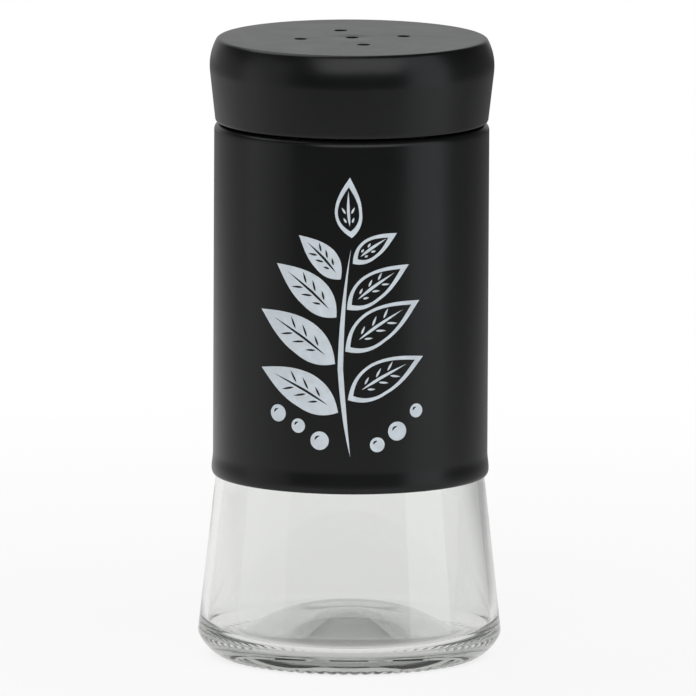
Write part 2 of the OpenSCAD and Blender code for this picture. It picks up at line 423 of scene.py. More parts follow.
def ramp(tree, value, start, end, low=0.0, high=1.0, soft=True):
    """Go from one number or socket to another while a value crosses a range."""
    inputs = {"Value": value, "From Min": start, "From Max": end, "To Min": low, "To Max": high}
    kind = "SMOOTHSTEP" if soft else "LINEAR"
    return add_node(tree, "ShaderNodeMapRange", inputs, interpolation_type=kind).outputs["Result"]


def spread(tree, value, low=0.0, high=1.0):
    """Spread noise about its middle over a range of values."""
    return ramp(tree, value, *NOISE_REACH, low, high, soft=False)


def reckon(tree, operation, *values, **settings):
    """Work out a number from numbers or sockets."""
    inputs = dict(enumerate(values))
    return add_node(tree, "ShaderNodeMath", inputs, operation=operation, **settings).outputs[0]


def mixed_colour(tree, factor, first, second):
    """Blend of two colours or colour sockets."""
    mix = add_node(tree, "ShaderNodeMix", {0: factor, 6: first, 7: second}, data_type="RGBA")
    return mix.outputs[2]


def specks(tree, coords, scale, largest):
    """Mask of a few small dots of uneven size, largest in millimetres."""
    inputs = {"Vector": coords, "Scale": scale, "Randomness": 1.0}
    cells = add_node(tree, "ShaderNodeTexVoronoi", inputs)
    chance = add_node(tree, "ShaderNodeSeparateColor", {0: cells.outputs["Color"]})
    rare = reckon(tree, "POWER", chance.outputs[0], SPECK_RARITY)
    size = reckon(tree, "MULTIPLY", rare, largest * MM * scale)
    return reckon(tree, "LESS_THAN", cells.outputs["Distance"], size)


def surface(tree, shader, tone, roughness):
    """Link a colour and a roughness to the shader."""
    tree.links.new(tone, shader.inputs["Base Color"])
    tree.links.new(roughness, shader.inputs["Roughness"])


def relief(tree, shader, height, strength, depth):
    """Give the surface a fine relief of a depth in millimetres."""
    inputs = {"Height": height, "Strength": strength, "Distance": depth * MM}
    bump = add_node(tree, "ShaderNodeBump", inputs)
    tree.links.new(bump.outputs[0], shader.inputs["Normal"])


def rgba(values):
    """A colour property as a socket value."""
    return (values[0], values[1], values[2], 1.0)


def toned(values, times):
    """A colour property made lighter or darker, as a socket value."""
    return rgba([min(1.0, value * times) for value in values])


def satin_lacquer(finish):
    """Sprayed satin black lacquer: soft gloss, fine orange peel, faint mottle and a few dust specks."""
    material, tree, shader, coords = new_material(LACQUER_NAME)
    mottle = noise(tree, coords, scale=55.0, detail=4.0, distortion=0.4)
    peel = noise(tree, coords, scale=1500.0, detail=2.0)
    handling = noise(tree, coords, scale=95.0, detail=6.0, distortion=1.2)
    thin = toned(finish.lacquer, 1.5)
    coat = mixed_colour(tree, spread(tree, mottle), rgba(finish.lacquer), thin)
    dust = specks(tree, coords, scale=210.0, largest=0.16)
    coat = mixed_colour(tree, dust, coat, toned(finish.lacquer, 14.0))
    gloss = finish.lacquer_gloss
    surface(tree, shader, coat, spread(tree, handling, low=gloss - 0.012, high=gloss + 0.016))
    relief(tree, shader, peel, strength=0.25, depth=0.012)
    shader.inputs["Specular IOR Level"].default_value = finish.lacquer_specular
    return material


def clear_glass(finish):
    """Clear soda glass with the slight waves of a blown jar."""
    material, tree, shader, coords = new_material("clear_glass")
    shader.inputs["Base Color"].default_value = rgba(finish.glass)
    shader.inputs["Roughness"].default_value = 0.0
    shader.inputs["IOR"].default_value = finish.glass_index
    shader.inputs["Transmission Weight"].default_value = 1.0
    inputs = {"Color": rgba(finish.glass_body), "Density": finish.glass_depth}
    body = add_node(tree, "ShaderNodeVolumeAbsorption", inputs)
    tree.links.new(body.outputs[0], tree.nodes["Material Output"].inputs["Volume"])
    waves = noise(tree, coords, scale=70.0, detail=1.0, distortion=0.3)
    relief(tree, shader, waves, strength=0.35, depth=0.12)
    return material


def bare_tin(finish):
    """Bare tinplate: bright metal with the fine grain and dull spots of rolled sheet."""
    material, tree, shader, coords = new_material(TIN_NAME)
    inputs = {"Vector": coords, "Scale": (1.0, 1.0, 0.04)}
    along = add_node(tree, "ShaderNodeMapping", inputs).outputs[0]
    grain = noise(tree, along, scale=2400.0, detail=3.0)
    spots = noise(tree, coords, scale=130.0, detail=5.0, distortion=0.6)
    sheet = mixed_colour(tree, spread(tree, spots), toned(finish.tin, 0.86), rgba(finish.tin))
    surface(tree, shader, sheet, spread(tree, grain, low=0.32, high=0.44))
    relief(tree, shader, grain, strength=0.3, depth=0.01)
    shader.inputs["Metallic"].default_value = 1.0
    return material


def screen_ink(finish):
    """Pale screen-printed ink, a little uneven in its cover."""
    material, tree, shader, coords = new_material("pale_screen_ink")
    cover = noise(tree, coords, scale=420.0, detail=5.0, distortion=0.6)
    grain = noise(tree, coords, scale=3200.0, detail=2.0)
    thin = toned(finish.ink, 0.9)
    ink = mixed_colour(tree, spread(tree, cover), thin, toned(finish.ink, 1.04))
    surface(tree, shader, ink, spread(tree, grain, low=0.48, high=0.6))
    relief(tree, shader, grain, strength=0.3, depth=0.01)
    shader.inputs["Specular IOR Level"].default_value = 0.3
    return material


def moulded_plastic(finish):
    """Black moulded plastic with a fine spark-eroded grain."""
    material, tree, shader, coords = new_material("moulded_black_plastic")
    grain = noise(tree, coords, scale=2600.0, detail=3.0)
    flow = noise(tree, coords, scale=120.0, detail=3.0, distortion=0.8)
    streak = toned(finish.plastic, 1.4)
    resin = mixed_colour(tree, spread(tree, flow), rgba(finish.plastic), streak)
    surface(tree, shader, resin, spread(tree, grain, low=0.42, high=0.55))
    relief(tree, shader, grain, strength=0.4, depth=0.02)
    return material


def seal_foam(finish):
    """Soft off-white seal with fine closed cells."""
    material, tree, shader, coords = new_material("soft_seal_foam")
    cells = noise(tree, coords, scale=2200.0, detail=3.0)
    stain = noise(tree, coords, scale=160.0, detail=4.0, distortion=0.5)
    stained = toned(finish.seal, 0.92)
    foam = mixed_colour(tree, spread(tree, stain), stained, toned(finish.seal, 1.05))
    surface(tree, shader, foam, spread(tree, cells, low=0.7, high=0.85))
    relief(tree, shader, cells, strength=0.5, depth=0.04)
    return material


# Ramps of the floor's white glow: the places in metres between which it changes, and its share at each.
# Under the jar the glow is held back, a painted shade over the real shadow; farther off it grows a
# little
FLOOR_SHADE_UNDER_JAR = (0.0185, 0.0315, 0.36, 0.90)
FLOOR_FAR = (0.07, 0.35, 0.0, 0.1)
# The same for how much of it the glass shows, from front to back and from left to right: painted shade
# on the floor as seen through glass, darker to the back right and a little to the left
GLASS_SHADE_BEHIND = (-0.05, 0.1, 0.0, 0.88)
GLASS_SHADE_RIGHT = (0.0, 0.12)
GLASS_SHADE_LEFT = (-0.12, 0.0, 0.56, 0.75)
# The same for how much of it gloss mirrors, by distance and from front to back: a painted pool of light
# for reflections, brightest near the jar, ending in front and dimmed to the back right
GLOSS_POOL_FRONT = (0.24, 0.38, 1.25, 0.0)
GLOSS_POOL_DEPTH = (-0.25, 0.0)
GLOSS_POOL_BESIDE = 0.7
GLOSS_POOL_NEAR = (0.3, 0.7, 1.0, 0.3)


def pale_floor(stage):
    """Pale floor that glows white to the camera and through glass and keeps a soft shadow; its glow
    paints shade under the jar and, through glass, to the back right and left, and paints a pool of
    light in gloss near the jar.
    """
    material, tree, shader, coords = new_material("pale_floor")
    paper = noise(tree, coords, scale=30.0, detail=4.0)
    tone = mixed_colour(tree, spread(tree, paper), rgba(stage.floor), toned(stage.floor, 1.02))
    tree.links.new(tone, shader.inputs["Base Color"])
    shader.inputs["Roughness"].default_value = 0.9
    shader.inputs["Specular IOR Level"].default_value = 0.0
    away = add_node(tree, "ShaderNodeVectorMath", {0: coords}, operation="LENGTH").outputs["Value"]
    place = add_node(tree, "ShaderNodeSeparateXYZ", {0: coords}).outputs
    path = add_node(tree, "ShaderNodeLightPath").outputs

    # Painted shade: the glow is held back under the jar, so the floor reads darker there through the
    # base
    under = ramp(tree, away, *FLOOR_SHADE_UNDER_JAR)
    far = ramp(tree, away, *FLOOR_FAR, soft=False)
    white = reckon(tree, "ADD", under, far)

    # Painted shade through glass: less glow to the back right and to the left
    behind = ramp(tree, place["Y"], *GLASS_SHADE_BEHIND)
    corner = ramp(tree, place["X"], *GLASS_SHADE_RIGHT, high=behind)
    right = reckon(tree, "SUBTRACT", 1.0, corner)
    left = ramp(tree, place["X"], *GLASS_SHADE_LEFT)
    through = reckon(tree, "MULTIPLY", right, left)
    direct = reckon(tree, "MULTIPLY_ADD", path["Is Transmission Ray"], through, path["Is Camera Ray"])

    # Painted pool of light for gloss: the glow that reflections show is brightest near the jar, with
    # none far in front
    front = ramp(tree, away, *GLOSS_POOL_FRONT)
    beside = ramp(tree, place["Y"], *GLOSS_POOL_DEPTH, front, GLOSS_POOL_BESIDE)
    near = ramp(tree, away, *GLOSS_POOL_NEAR)
    painted_gloss_pool = reckon(tree, "MULTIPLY", beside, near)
    painted_gloss_pool_dimmed = reckon(tree, "MULTIPLY", painted_gloss_pool, right)
    seen = reckon(tree, "MULTIPLY_ADD", path["Is Glossy Ray"], painted_gloss_pool_dimmed, direct, use_clamp=True)
    lift = reckon(tree, "MULTIPLY", seen, white)

    glow = add_node(tree, "ShaderNodeEmission", {"Color": WHITE, "Strength": 1.0})
    inputs = {0: lift, 1: shader.outputs[0], 2: glow.outputs[0]}
    mix = add_node(tree, "ShaderNodeMixShader", inputs)
    tree.links.new(mix.outputs[0], tree.nodes["Material Output"].inputs["Surface"])
    return material


def lacquer_of(context):
    """The lacquer that sleeve and cap share."""
    made = bpy.data.materials.get(LACQUER_NAME)
    return made or satin_lacquer(context.scene.shaker_finish)


# How far a face leans, as its normal's share inwards or downwards, before it counts as that
LEANS_IN = 0.3
LEANS_DOWN = 0.5
# Distance below the sleeve's top, and above the cap's lower edge, from which undersides are bare
BARE_OFFSET = 2 * MM


def leave_bare(piece, context, low_z, least_r=0.0):
    """Leave the inside bare tin: faces that look inwards beyond a radius, or down above a level."""
    made = bpy.data.materials.get(TIN_NAME)
    piece.data.materials.append(made or bare_tin(context.scene.shaker_finish))
    for face in piece.data.polygons:
        out = Vector((face.center.x, face.center.y, 0))
        inwards = out.length > least_r and face.normal.dot(out.normalized()) < -LEANS_IN
        downwards = face.normal.z < -LEANS_DOWN and face.center.z > low_z
        if inwards or downwards:
            face.material_index = 1


# Pieces

def jar_outline(jar):
    """The jar's outline from the hollow under it, up the outside and down the inside."""
    shoulder_z = SLEEVE_TOP_Z - jar.shoulder_drop
    body_in = jar.body_radius - jar.wall
    bore = jar.neck_radius - jar.neck_wall
    slope = (HEEL_R - jar.body_radius) / (SLEEVE_LOW_Z - jar.heel_height)
    lean = math.atan(slope)
    fillet_z = jar.floor_height + jar.floor_fillet
    fillet_r = body_in + slope * (SLEEVE_LOW_Z - fillet_z) - jar.floor_fillet / math.cos(lean)
    step_r = (body_in - bore) / 2
    step_z = shoulder_z - jar.wall
    power = 2 / jar.heel_fullness

    heel = []
    for step in range(1, CURVE["heel"] + 1):
        turn = math.radians(90 * step / CURVE["heel"])
        heel.append((
            jar.foot_radius + (HEEL_R - jar.foot_radius) * math.sin(turn) ** power,
            jar.heel_height * (1 - math.cos(turn) ** power),
        ))
    waist = (jar.body_radius, SLEEVE_LOW_Z)
    shoulder_c = (jar.body_radius - jar.shoulder_round, shoulder_z - jar.shoulder_round)
    shoulder = arc(shoulder_c, jar.shoulder_round, 0, 90, CURVE["shoulder"])
    root = (jar.neck_radius, shoulder_z)
    rim_c = (jar.neck_radius - jar.rim_round, RIM_Z - jar.rim_round)
    rim_out = arc(rim_c, jar.rim_round, 0, 90, CURVE["rim"])
    rim_in_c = (bore + jar.rim_round, RIM_Z - jar.rim_round)
    rim_in = arc(rim_in_c, jar.rim_round, 90, 180, CURVE["rim"])
    bore_step = arc((bore + step_r, step_z + step_r), step_r, 180, 270, CURVE["neck_step"])
    body_step = arc((body_in - step_r, step_z - step_r), step_r, 90, 0, CURVE["neck_step"])
    inner_waist = (body_in, SLEEVE_LOW_Z)
    fillet_c = (fillet_r, fillet_z)
    fillet = arc(fillet_c, jar.floor_fillet, math.degrees(lean), -90, CURVE["fillet"])
    floor_top = jar.floor_height + jar.dome_height
    floor_curve = (jar.dome_fullness, jar.dome_runout, CURVE["floor"])
    floor = dome(jar.dome_radius, floor_top, jar.floor_height, *floor_curve)
    hollow_curve = (jar.hollow_fullness, jar.hollow_runout, CURVE["hollow"])
    hollow = dome(jar.hollow_radius, jar.hollow_height, TABLE_Z, *hollow_curve)
    foot = rows_between(hollow[-1], (jar.foot_radius, TABLE_Z), ROWS["foot"])

    outline = hollow + foot + [(jar.foot_radius, TABLE_Z)] + heel
    outline += rows_between(heel[-1], waist, ROWS["flare"]) + [waist]
    outline += held_line(waist, shoulder[0], HOLD["body"]) + shoulder
    outline += held_line(shoulder[-1], root, HOLD["shoulder"]) + [root]
    outline += rows_between(root, rim_out[0], ROWS["neck"]) + rim_out + rim_in
    outline += held_line(rim_in[-1], bore_step[0], HOLD["bore"]) + bore_step + body_step[1:]
    outline += held_line(body_step[-1], inner_waist, HOLD["body"]) + [inner_waist]
    outline += rows_between(inner_waist, fillet[0], ROWS["flare"]) + fillet
    outline += list(reversed(floor))
    return outline


# Turns over which the neck's thread runs out, and the share of its half width that a flank takes
THREAD_RUNOUT = 0.12
THREAD_FLANK = 0.55


def ridge_height(jar, turn, level):
    """Height of the neck's thread at a turn about the axis and a level."""
    low_z = RIM_Z - jar.thread_drop - THREAD_PITCH * jar.thread_turns
    half = jar.thread_width / 2
    best = 0.0
    for winding in range(math.ceil(jar.thread_turns)):
        turns = turn / TURN + winding
        if turns > jar.thread_turns:
            continue
        off = abs(level - low_z - THREAD_PITCH * turns) / half
        if off >= 1:
            continue
        fade = min(1.0, turns / THREAD_RUNOUT, (jar.thread_turns - turns) / THREAD_RUNOUT)
        flat = min(1.0, (1 - off) / THREAD_FLANK)
        best = max(best, fade * flat * flat * (3 - 2 * flat))
    return best * jar.thread_depth


def cut_jar_details(piece, jar):
    """Raise the thread on the neck, and press the stipple marks into the foot's edge."""
    shoulder_z = SLEEVE_TOP_Z - jar.shoulder_drop
    near = 0.01 * MM
    for vertex in piece.data.vertices:
        x, y, z = vertex.co
        radius = math.hypot(x, y)
        turn = math.atan2(y, x) % TURN
        if abs(radius - jar.neck_radius) < near and z > shoulder_z + near:
            grown = 1 + ridge_height(jar, turn, z) / radius
            vertex.co = (x * grown, y * grown, z)
        elif z < jar.heel_height / 2 and jar.grip_inner < radius < jar.grip_outer:
            along = (radius - jar.grip_inner) / (jar.grip_outer - jar.grip_inner)
            mark = max(0.0, math.cos(turn * jar.grip_count)) * math.sin(math.pi * along)
            vertex.co.z = z + jar.grip_depth * mark


class SHAKER_OT_glass_jar(Operator):
    """Model the glass jar with its thick base, stippled foot and threaded neck"""

    bl_idname = "shaker.glass_jar"
    bl_label = "Glass jar"

    def execute(self, context):
        settings = context.scene.shaker_jar
        steps = settings.grip_count * ROUND["mark"]
        piece = lathe("jar_glass", jar_outline(settings), steps)
        cut_jar_details(piece, settings)
        smooth(piece, CREASE["jar"])
        dress(piece, "jar", "glass", clear_glass(context.scene.shaker_finish), "glass_jar")
        return {"FINISHED"}


def sleeve_outline(sleeve):
    """The sleeve's closed outline: rolled edge, side, turned-in top and back down inside."""
    side = BEAD_R - sleeve.bead_out
    inside = side - sleeve.sheet
    bead = []
    for step in range(CURVE["bead"] + 1):
        turn = math.radians(90 * step / CURVE["bead"])
        bead.append((
            inside + (sleeve.sheet + sleeve.bead_out) * math.sin(turn),
            SLEEVE_LOW_Z + sleeve.bead_rise * (1 - math.cos(turn)),
        ))
    for step in range(1, CURVE["bead"] + 1):
        along = step / CURVE["bead"]
        bead.append((
            side + sleeve.bead_out * (1 + math.cos(math.pi * along)) / 2,
            SLEEVE_LOW_Z + sleeve.bead_rise + sleeve.bead_fade * along,
        ))
    edge_c = (side - sleeve.edge_round, SLEEVE_TOP_Z - sleeve.edge_round)
    outer = arc(edge_c, sleeve.edge_round, 0, 90, CURVE["sleeve_edge"])
    inner_r = sleeve.edge_round - sleeve.sheet
    inner = arc(edge_c, inner_r, 90, 0, CURVE["sleeve_edge_inside"])
    flange_top = (sleeve.flange_radius, SLEEVE_TOP_Z)
    flange_low = (sleeve.flange_radius, SLEEVE_TOP_Z - sleeve.sheet)
    outline = bead + held_line(bead[-1], outer[0], HOLD["sleeve"]) + outer
    outline += [flange_top, flange_low] + inner
    outline += held_line(inner[-1], bead[0], HOLD["sleeve_inside"]) + [bead[0]]
    return outline


class SHAKER_OT_body_sleeve(Operator):
    """Model the metal sleeve with its rolled lower edge and turned-in top"""

    bl_idname = "shaker.body_sleeve"
    bl_label = "Body sleeve"

    def execute(self, context):
        outline = sleeve_outline(context.scene.shaker_sleeve)
        piece = lathe("sleeve_shell", outline, ROUND["sleeve"])
        smooth(piece, CREASE["sleeve"])
        dress(piece, "jar", "sleeve_lacquer", lacquer_of(context), "body_sleeve")
        leave_bare(piece, context, SLEEVE_TOP_Z - BARE_OFFSET)
        return {"FINISHED"}


LEAVES = (
    # share of the stem, length and half width in mm, spread from the stem in degrees, side
    (0.20, 20.0, 3.9, 64, -1),
    (0.26, 19.0, 3.7, 62, 1),
    (0.43, 20.5, 3.9, 58, -1),
    (0.49, 19.5, 3.8, 57, 1),
    (0.65, 17.5, 3.5, 51, -1),
    (0.69, 16.5, 3.1, 55, 1),
    (0.83, 13.0, 2.8, 45, -1),
    (0.91, 11.5, 2.3, 56, 1),
    (1.02, 13.0, 2.9, -2, 1),
)
# Bow of a leaf's middle line as a share of its length, and the power of its width's curve
LEAF_BOW = 0.045
LEAF_FULLNESS = 0.8
# Where the veins leave the rib, as shares of the leaf
VEINS = (0.25, 0.40, 0.55)
# A drawn leaf with a smaller half width has one pair of veins less
SMALL_LEAF = 3.0 * MM
# The rib of a drawn and of a solid leaf: its ends as shares of the leaf, its half width in lines
DRAWN_RIB = (0.19, 0.78, 0.5)
SOLID_RIB = (0.13, 0.84, 0.42)
# The bare middle of a drawn leaf: its distance from the leaf's foot and tip in lines
DRAWN_INSET = (2.25, 3.3)
# A vein's reach as a share of the room beside the rib, its gap from the rib and half width in lines
VEIN_REACH = 0.62
VEIN_GAP = 0.5
VEIN_HALF = 0.36
PEPPERCORNS = (
    # across, up and radius in mm
    (-6.6, -25.6, 2.0),
    (-11.4, -22.6, 1.55),
    (-16.2, -20.2, 1.85),
    (5.8, -26.4, 1.6),
    (10.2, -23.6, 2.05),
    (14.6, -19.4, 1.5),
)
# The bare glint on a peppercorn: its reach in radii, its lean, its half width in lines and its bow
GLINT_REACH = 0.55
GLINT_LEAN = 0.1
GLINT_HALF = 0.35
GLINT_BOW = 0.16
# Length of the handles that make four corners a circle
CIRCLE_HOLD = 0.5523


def lens(start, end, half, bow=0.0):
    """Four corners of a pointed oval: each is a place with its two handles."""
    along = end - start
    span = along.length
    along = along / span
    aside = Vector((-along.y, along.x))

    def at(reach, out):
        lift = bow * span * 4 * reach * (1 - reach)
        return start + along * (span * reach) + aside * (half * out + lift)

    return (
        (at(0, 0), at(0.10, 0.62), at(0.10, -0.62)),
        (at(0.42, -1), at(0.22, -1.02), at(0.66, -1.0)),
        (at(1, 0), at(0.86, -0.36), at(0.86, 0.36)),
        (at(0.42, 1), at(0.66, 1.0), at(0.22, 1.02)),
    )


def disc(centre, radius):
    """Four corners of a circle."""
    corners = []
    for quarter in range(4):
        turn = TURN * quarter / 4
        out = Vector((math.cos(turn), math.sin(turn))) * radius
        side = Vector((-out.y, out.x)) * CIRCLE_HOLD
        corners.append((centre + out, centre + out - side, centre + out + side))
    return tuple(corners)


def leaf_shapes(base, turn, span, half, side, line):
    """A leaf: solid with bare veins on one side of the stem, drawn in line on the other."""
    bow = LEAF_BOW * side
    along = Vector((math.cos(turn), math.sin(turn)))
    aside = Vector((-along.y, along.x))

    def at(reach, out):
        return base + along * (span * reach) + aside * (out + bow * span * 4 * reach * (1 - reach))

    def middle(start, end, width):
        return lens(at(start, 0), at(end, 0), width, bow * (end - start))

    drawn = side > 0
    first, last, rib = DRAWN_RIB if drawn else SOLID_RIB
    rib *= line
    room = half
    veins = VEINS
    shapes = [middle(0, 1, half)]
    if drawn:
        room = half - line
        inset, tip = (gap * line / span for gap in DRAWN_INSET)
        shapes.append(middle(inset, 1 - tip, room))
        veins = VEINS[:2] if half < SMALL_LEAF else VEINS
    shapes.append(middle(first, last, rib))
    for reach in veins:
        width = room * (4 * reach * (1 - reach)) ** LEAF_FULLNESS
        for out in (-1, 1):
            start = at(reach, out * (rib + VEIN_GAP * line))
            end = at(reach + VEIN_REACH * width / span, out * (width * VEIN_REACH))
            shapes.append(lens(start, end, line * VEIN_HALF))
    return shapes


def sprig_shapes(settings):
    """All the outlines of the sprig, flat, about the print's middle."""
    span = settings.stem_length
    foot = Vector((0, -settings.stem_foot))
    top = foot + Vector((0, span))
    bow = settings.stem_bend
    shapes = [lens(foot, top, settings.stem_width / 2, bow)]
    for share_of, leaf, half, spread_by, side in LEAVES:
        across = -bow * span * 4 * share_of * (1 - share_of)
        turn = math.radians(90 - side * spread_by)
        off = settings.leaf_gap + settings.stem_width / 2
        base = foot + Vector((across, span * share_of))
        base += Vector((math.cos(turn), math.sin(turn))) * off
        shapes += leaf_shapes(base, turn, leaf * MM, half * MM, side, settings.line)
    for across, up, radius in PEPPERCORNS:
        centre = Vector((across, up)) * MM
        shapes.append(disc(centre, radius * MM))
        reach = radius * GLINT_REACH * MM
        first = centre + Vector((-reach, GLINT_LEAN * reach))
        last = centre + Vector((GLINT_LEAN * reach, reach))
        shapes.append(lens(first, last, settings.line * GLINT_HALF, GLINT_BOW))
    return shapes


# Steps between two corners of an outline
INK_STEPS = 10


def flat_ink(shapes):
    """Fill the outlines as one flat curve and make it a mesh."""
    start_clean()
    bpy.ops.curve.primitive_bezier_circle_add(radius=1 * MM, location=(0, 0, 0))
    piece = bpy.context.object
    bpy.ops.object.mode_set(mode="EDIT")
    for _ in shapes[1:]:
        bpy.ops.curve.primitive_bezier_circle_add(radius=1 * MM, location=(0, 0, 0))
    bpy.ops.object.mode_set(mode="OBJECT")
    piece.data.dimensions = "2D"
    piece.data.fill_mode = "BOTH"
    piece.data.resolution_u = INK_STEPS
    for spline, shape in zip(piece.data.splines, shapes):
        for corner, (place, before, after) in zip(spline.bezier_points, shape):
            corner.handle_left_type = "FREE"
            corner.handle_right_type = "FREE"
            corner.co = place.to_3d()
            corner.handle_left = before.to_3d()
            corner.handle_right = after.to_3d()
    bpy.ops.object.convert(target="MESH")
    return bpy.context.object


class SHAKER_OT_sleeve_print(Operator):
    """Draw the herb sprig, bend it round the sleeve and give the ink its thickness"""

    bl_idname = "shaker.sleeve_print"
    bl_label = "Sleeve print"

    def execute(self, context):
        settings = context.scene.shaker_print
        side = BEAD_R - context.scene.shaker_sleeve.bead_out
        piece = flat_ink(sprig_shapes(settings))
        piece.name = "sleeve_print"
        piece.data.name = "sleeve_print"
        bpy.ops.object.mode_set(mode="EDIT")
        bpy.ops.mesh.select_all(action="SELECT")
        bpy.ops.mesh.remove_doubles(threshold=WELD)
        reach = max(abs(corner[0]) for corner in piece.bound_box)
        cut = -reach
        while cut < reach:
            bpy.ops.mesh.select_all(action="SELECT")
            bpy.ops.mesh.bisect(plane_co=(cut, 0, 0), plane_no=(1, 0, 0))
            cut += settings.strip
        bpy.ops.object.mode_set(mode="OBJECT")
        outside = side + settings.ink
        for vertex in piece.data.vertices:
            turn = vertex.co.x / side
            level = settings.middle_height + vertex.co.y
            vertex.co = (outside * math.sin(turn), -outside * math.cos(turn), level)
        thickness = settings.ink + settings.sunk
        apply_modifier(piece, "SOLIDIFY", thickness=thickness, offset=-1.0)
        smooth(piece, CREASE["print"])
        dress(piece, "jar", "sleeve_lacquer", screen_ink(context.scene.shaker_finish))
        return {"FINISHED"}


def cap_face(cap, depth):
    """The cap's outer face from the axis to the hem, or a face that lies deeper in."""
    crown_r = (cap.crown_in ** 2 + cap.crown_height ** 2) / (2 * cap.crown_in)
    crown_c = (CAP_MAX_R - crown_r, CAP_TOP_Z - cap.crown_height)
    reach = (cap.low_radius - crown_c[0], CAP_LOW_Z - crown_c[1])
    taper = -(math.atan2(reach[1], reach[0]) + math.acos(crown_r / math.hypot(*reach)))
    hem_c = (
        cap.low_radius + cap.hem * (math.tan(taper) - 1 / math.cos(taper)),
        CAP_LOW_Z + cap.hem,
    )
    rise = cap.crown_height - cap.corner
    out = math.sqrt((crown_r - cap.corner) ** 2 - rise ** 2)
    corner_c = (crown_c[0] + out, crown_c[1] + rise)
    turn = math.degrees(math.atan2(rise, out))
    taper = math.degrees(taper)
    corner = arc(corner_c, cap.corner - depth, 90, turn, CURVE["cap_corner"])
    crown = arc(crown_c, crown_r - depth, turn, -taper, CURVE["cap_crown"])
    hem = arc(hem_c, cap.hem - depth, -taper, -90, CURVE["cap_hem"])
    middle = (0.0, CAP_TOP_Z - depth)
    flat = rows_between(middle, corner[0], ROWS["cap_top"])
    flat += held_line(middle, corner[0], HOLD["cap_top"])[1:]
    face = [middle] + flat + corner + crown[1:]
    face += held_line(crown[-1], hem[0], HOLD["cap_side"]) + hem
    return face + [(cap.hem_radius, CAP_LOW_Z + depth)]


# A sprinkle hole's steps round, the steps of its rounded edge and the height of its cutter
HOLE_STEPS = 40
HOLE_EDGE_STEPS = 3
CUTTER_HEIGHT = 3 * MM


def hole_cutters(cap):
    """Cylinders for the sprinkle holes, joined as one object."""
    start_clean()
    places = [(0.0, 0.0)]
    for index in range(cap.hole_count):
        turn = cap.hole_turn + TURN * index / cap.hole_count
        places.append((cap.hole_ring / 2 * math.cos(turn), cap.hole_ring / 2 * math.sin(turn)))
    made = []
    for x, y in places:
        bpy.ops.mesh.primitive_cylinder_add(
            vertices=HOLE_STEPS,
            radius=cap.hole_diameter / 2,
            depth=CUTTER_HEIGHT,
            location=(x, y, CAP_TOP_Z),
        )
        made.append(bpy.context.object)
    for cutter in made:
        cutter.select_set(True)
    bpy.ops.object.join()
    return bpy.context.object, places


def round_hole_edges(piece, cap, places):
    """Bevel the edges that the holes left in the top."""
    pick(piece)
    bpy.ops.object.mode_set(mode="EDIT")
    bpy.ops.mesh.select_mode(type="EDGE")
    bpy.ops.mesh.select_all(action="DESELECT")
    bpy.ops.object.mode_set(mode="OBJECT")
    vertices = piece.data.vertices
    near = 0.02 * MM
    for edge in piece.data.edges:
        ends = [vertices[index].co for index in edge.vertices]
        on_top = all(abs(end.z - CAP_TOP_Z) < near for end in ends)
        at_hole = any(
            all(abs(math.hypot(end.x - x, end.y - y) - cap.hole_diameter / 2) < near for end in ends)
            for x, y in places
        )
        edge.select = on_top and at_hole
    bpy.ops.object.mode_set(mode="EDIT")
    bpy.ops.mesh.bevel(offset=cap.hole_edge, segments=HOLE_EDGE_STEPS, affect="EDGES")
    bpy.ops.object.mode_set(mode="OBJECT")


class SHAKER_OT_cap_shell(Operator):
    """Model the drawn cap with its sprinkle holes and folded lower edge"""

    bl_idname = "shaker.cap_shell"
    bl_label = "Cap shell"

    def execute(self, context):
        cap = context.scene.shaker_cap
        outline = cap_face(cap, 0.0) + list(reversed(cap_face(cap, cap.sheet)))
        piece = lathe("cap_cover", outline, ROUND["cap"])
        cutter, places = hole_cutters(cap)
        apply_modifier(piece, "BOOLEAN", operation="DIFFERENCE", solver="EXACT", object=cutter)
        bpy.data.objects.remove(cutter)
        round_hole_edges(piece, cap, places)
        smooth(piece, CREASE["cap"])
        apply_modifier(piece, "WEIGHTED_NORMAL", keep_sharp=True)
        dress(piece, "cap", "cap_lacquer", lacquer_of(context), "cap_shell")
        leave_bare(piece, context, CAP_LOW_Z + BARE_OFFSET, cap.hole_ring)
        return {"FINISHED"}


class SHAKER_OT_cap_insert(Operator):
    """Give the threaded insert its moulded plastic"""

    bl_idname = "shaker.cap_insert"
    bl_label = "Cap insert"

    def execute(self, context):
        insert = frame["nodes"]["cap_insert"]
        material = moulded_plastic(context.scene.shaker_finish)
        insert.data.materials.clear()
        insert.data.materials.append(material)
        return {"FINISHED"}


class SHAKER_OT_rim_seal(Operator):
    """Model the soft ring between the rim and the cap"""

    bl_idname = "shaker.rim_seal"
    bl_label = "Rim seal"

    def execute(self, context):
        seal = context.scene.shaker_seal
        edge = seal.edge
        inner_c = seal.inner_radius + edge
        outer_c = SEAL_R - edge
        low_c = SEAL_LOW_Z + edge
        top_c = SEAL_TOP_Z - edge
        steps = CURVE["seal"]
        outline = arc((outer_c, low_c), edge, -90, 0, steps)
        outline += arc((outer_c, top_c), edge, 0, 90, steps)
        outline += arc((inner_c, top_c), edge, 90, 180, steps)
        outline += arc((inner_c, low_c), edge, 180, 270, steps)
        piece = lathe("seal_ring", outline + [outline[0]], ROUND["seal"])
        smooth(piece, CREASE["seal"])
        material = seal_foam(context.scene.shaker_finish)
        dress(piece, "seal", "seal", material, "rim_seal")
        return {"FINISHED"}


# Stage

